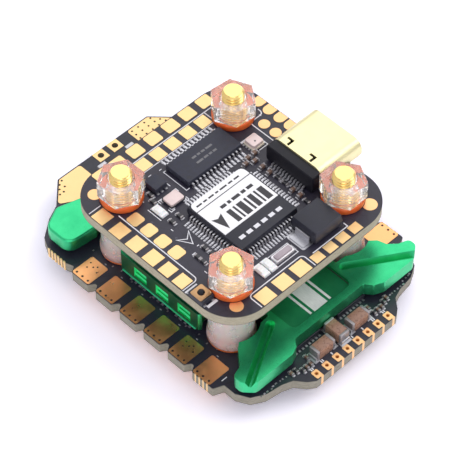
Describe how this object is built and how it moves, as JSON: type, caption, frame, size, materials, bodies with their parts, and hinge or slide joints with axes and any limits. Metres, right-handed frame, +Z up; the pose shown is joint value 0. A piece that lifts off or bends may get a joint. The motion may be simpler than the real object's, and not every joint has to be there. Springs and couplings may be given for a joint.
{
  "type": "flight controller stack",
  "caption": "Quadcopter flight controller board on rubber bushes above a four-motor speed controller board with a finned metal heat sink, held by screws with clear hexagon nuts.",
  "frame": {"origin": "centre of the 20 mm square screw pattern, on the underside of the lower board", "axes": "+Z up out of the upper board, +X towards the USB socket, -Y towards the signal pads (forward), +Y towards the battery pads"},
  "size_m": [0.035, 0.0477, 0.0196],
  "materials": {
    "solder_mask": "black solder mask over glass fibre board",
    "gold_plate": "immersion gold over copper",
    "orange_rubber": "soft, slightly translucent silicone",
    "clear_spacer": "milky translucent nylon",
    "clear_nut": "clear moulded plastic",
    "gold_screw": "gold-coloured plated screw",
    "green_anodised": "bright green anodised, satin",
    "thermal_pad": "soft heat-conducting pad",
    "chip_black": "moulded epoxy",
    "ferrite": "pressed ferrite",
    "ceramic_brown": "ceramic with tinned ends",
    "resistor_black": "small chip parts with tinned ends",
    "tinned_lead": "matt tin plate",
    "silver_can": "satin nickel lid",
    "label_white": "printed paper label",
    "led_white": "clear lens on white body",
    "socket_ivory": "ivory moulded plastic",
    "usb_gold": "pale gold plated steel"
  },
  "bodies": {
    "stack": {"barometer": "silver_can", "board_spacers": "clear_spacer", "boot_button_base": "chip_black", "boot_button_plate": "gold_plate", "crystals": "silver_can", "esc_battery_pads": "gold_plate", "esc_board": "solder_mask", "esc_bulk_capacitors": "ceramic_brown", "esc_capacitor_pads": "gold_plate", "esc_ceramic_capacitors": "ceramic_brown", "esc_current_shunt": "chip_black", "esc_gate_drivers": "chip_black", "esc_grommets": "orange_rubber", "esc_mosfets_bottom": "chip_black", "esc_mosfets_top": "chip_black", "esc_motor_pads": "gold_plate", "esc_processors": "chip_black", "esc_signal_pads": "gold_plate", "esc_small_parts": "resistor_black", "esc_thermal_pads": "thermal_pad", "fc_board": "solder_mask", "fc_capacitors": "ceramic_brown", "fc_filter_capacitors": "ceramic_brown", "fc_grommets": "orange_rubber", "fc_pads_back": "gold_plate", "fc_pads_front": "gold_plate", "fc_pads_left": "gold_plate", "fc_pads_round": "gold_plate", "fc_resistors": "resistor_black", "gyro_sensor": "chip_black", "heat_sink": "green_anodised", "link_socket": "socket_ivory", "link_socket_pins": "tinned_lead", "memory_chip": "chip_black", "overlay_chip_body": "chip_black", "overlay_chip_leads": "tinned_lead", "power_inductors": "ferrite", "power_regulators": "chip_black", "processor_body": "chip_black", "processor_label": "label_white", "processor_leads": "tinned_lead", "rectifier_body": "chip_black", "rectifier_tabs": "tinned_lead", "status_leds": "led_white", "usb_housing": "chip_black", "usb_pins": "tinned_lead", "usb_shell": "usb_gold", "usb_tongue": "chip_black"},
    "screw_body_front": {"screw_front": "gold_screw"},
    "nut_body_front": {"nut_front": "clear_nut"},
    "screw_body_right": {"screw_right": "gold_screw"},
    "nut_body_right": {"nut_right": "clear_nut"},
    "screw_body_back": {"screw_back": "gold_screw"},
    "nut_body_back": {"nut_back": "clear_nut"},
    "screw_body_left": {"screw_left": "gold_screw"},
    "nut_body_left": {"nut_left": "clear_nut"},
    "button_body": {"boot_button_plunger": "chip_black"}
  },
  "joints": [
    {"name": "nut_lift_front", "type": "slide", "parent": "stack", "child": "nut_body_front", "axis": [0, 0, 1], "range_m": [0, 0.00374]},
    {"name": "screw_turn_front", "type": "hinge", "parent": "stack", "child": "screw_body_front", "pos_m": [-0.01, -0.01, 0], "axis": [0, 0, -1], "range_deg": [0, 2700]},
    {"name": "nut_lift_right", "type": "slide", "parent": "stack", "child": "nut_body_right", "axis": [0, 0, 1], "range_m": [0, 0.00374]},
    {"name": "screw_turn_right", "type": "hinge", "parent": "stack", "child": "screw_body_right", "pos_m": [0.01, -0.01, 0], "axis": [0, 0, -1], "range_deg": [0, 2700]},
    {"name": "nut_lift_back", "type": "slide", "parent": "stack", "child": "nut_body_back", "axis": [0, 0, 1], "range_m": [0, 0.00374]},
    {"name": "screw_turn_back", "type": "hinge", "parent": "stack", "child": "screw_body_back", "pos_m": [0.01, 0.01, 0], "axis": [0, 0, -1], "range_deg": [0, 2700]},
    {"name": "nut_lift_left", "type": "slide", "parent": "stack", "child": "nut_body_left", "axis": [0, 0, 1], "range_m": [0, 0.00374]},
    {"name": "screw_turn_left", "type": "hinge", "parent": "stack", "child": "screw_body_left", "pos_m": [-0.01, 0.01, 0], "axis": [0, 0, -1], "range_deg": [0, 2700]},
    {"name": "boot_button_press", "type": "slide", "parent": "stack", "child": "button_body", "axis": [0, 0, -1], "range_m": [0, 0.0002], "stiffness_N_per_m": 2000}
  ],
  "couplings": [
    {"joint": "screw_turn_front", "follows": "nut_lift_front", "rad_per_m": 12566},
    {"joint": "screw_turn_right", "follows": "nut_lift_right", "rad_per_m": 12566},
    {"joint": "screw_turn_back", "follows": "nut_lift_back", "rad_per_m": 12566},
    {"joint": "screw_turn_left", "follows": "nut_lift_left", "rad_per_m": 12566}
  ]
}
